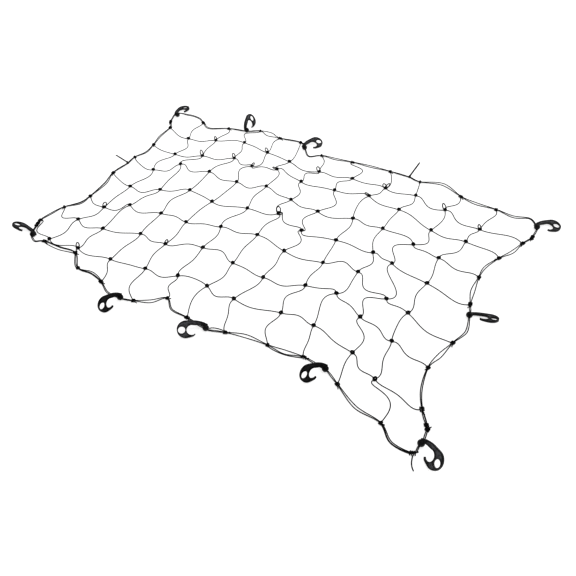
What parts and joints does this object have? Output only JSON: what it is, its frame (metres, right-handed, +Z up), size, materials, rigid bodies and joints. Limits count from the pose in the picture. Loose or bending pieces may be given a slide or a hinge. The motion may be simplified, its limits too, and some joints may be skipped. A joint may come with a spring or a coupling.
{
  "type": "cargo net",
  "caption": "Elastic knotted cargo net with a doubled border cord and curled plastic hooks clipped round its edge, spread out slack and flat.",
  "frame": {"origin": "middle of the outline's bounding box, on the floor that the net lies on", "axes": "+X along the net's long side, from its left edge to its right, +Y across it to its back edge, +Z up off the floor"},
  "size_m": [1.9358, 1.361, 0.0624],
  "materials": {
    "elastic_cord": "matt black braided cover over a rubber core",
    "hook_plastic": "satin black injection moulding",
    "tie_nylon": "black nylon, semi-gloss"
  },
  "bodies": {
    "root": {"net_field": "elastic_cord", "border_back": "elastic_cord", "border_front": "elastic_cord", "border_left": "elastic_cord", "border_right": "elastic_cord", "hook_front_1": "hook_plastic", "hook_front_2": "hook_plastic", "hook_front_3": "hook_plastic", "hook_front_right": "hook_plastic", "hook_back_right": "hook_plastic", "hook_right": "hook_plastic", "hook_back_1": "hook_plastic", "hook_back_2": "hook_plastic", "hook_back_left": "hook_plastic", "hook_front_left": "hook_plastic", "cable_tie_left": "tie_nylon", "cable_tie_back": "tie_nylon", "loose_end": "elastic_cord"}
  },
  "joints": []
}
